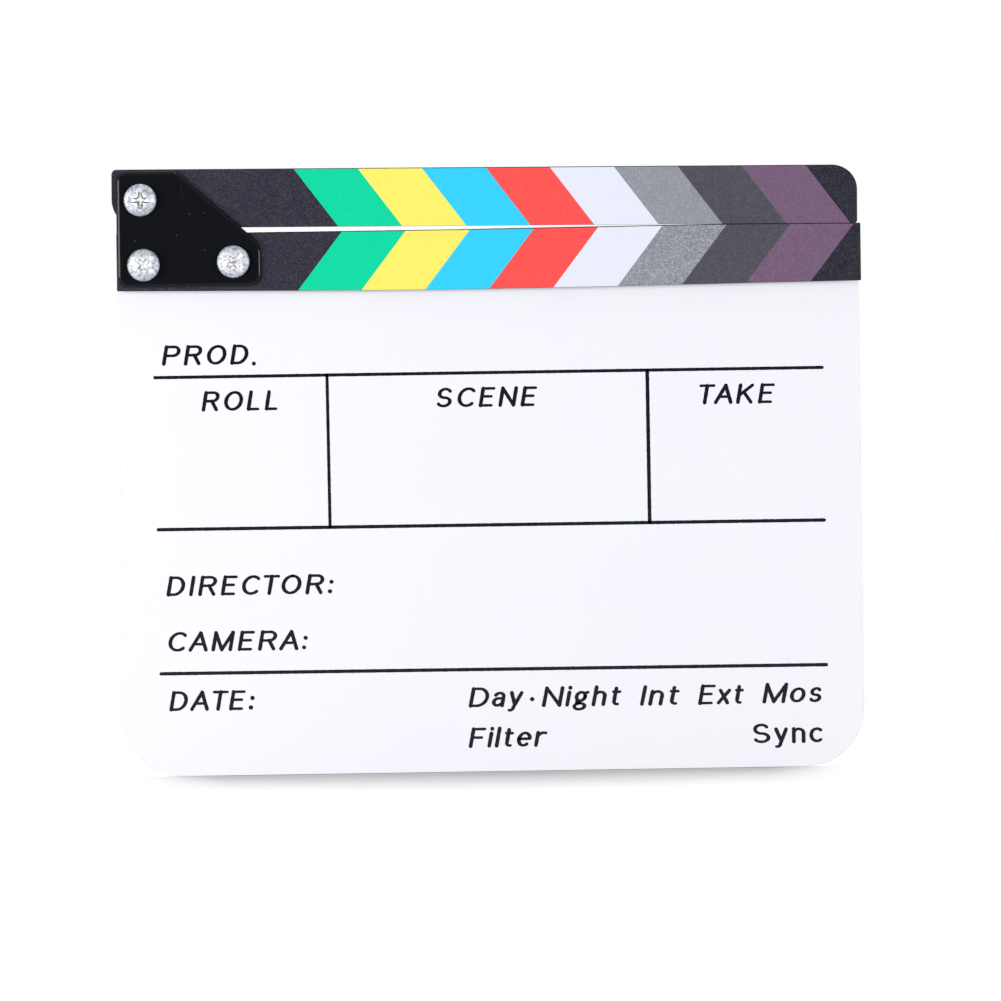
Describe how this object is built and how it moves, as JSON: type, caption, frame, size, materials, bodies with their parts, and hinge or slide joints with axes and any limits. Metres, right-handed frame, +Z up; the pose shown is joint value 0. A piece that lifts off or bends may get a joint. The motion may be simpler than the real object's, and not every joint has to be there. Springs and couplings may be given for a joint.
{
  "type": "clapperboard",
  "caption": "Upright white dry-erase film slate with colour-striped sticks: the upper stick swings up on a screw in a black corner plate and claps down on the lower one.",
  "frame": {"origin": "middle of the board's bottom edge, half way through the board's thickness", "axes": "+X along the sticks from the hinge end to the free end, +Y from the printed front to the back, +Z up from the bottom edge to the sticks"},
  "size_m": [0.3027, 0.0242, 0.2461],
  "materials": {
    "opal_acrylic": "smooth, white",
    "bonding_tape": "adhesive tape",
    "black_plastic": "sawn and eased bar",
    "printed_film": "grained film with printed colour bars",
    "black_enamel": "gloss black",
    "zinc_steel": "bright zinc plate",
    "slip_nylon": "natural nylon",
    "lock_nylon": "nylon ring"
  },
  "bodies": {
    "slate": {"slate_board": "opal_acrylic", "stick_tape": "bonding_tape", "lower_stick": "black_plastic", "lower_stick_film": "printed_film", "hinge_plate": "black_enamel", "pivot_front_washer": "slip_nylon", "lock_nut_insert": "lock_nylon", "pivot_screw": "zinc_steel", "corner_screw": "zinc_steel", "inner_screw": "zinc_steel", "corner_washer": "zinc_steel", "inner_washer": "zinc_steel", "corner_nut": "zinc_steel", "inner_nut": "zinc_steel", "pivot_back_washer": "zinc_steel", "pivot_lock_nut": "zinc_steel"},
    "clapper": {"clapper_stick": "black_plastic", "clapper_film": "printed_film"}
  },
  "joints": [
    {"name": "clapper_hinge", "type": "hinge", "parent": "slate", "child": "clapper", "pos_m": [-0.1409, 0, 0.23395], "axis": [0, -1, 0], "range_deg": [0, 107]}
  ]
}
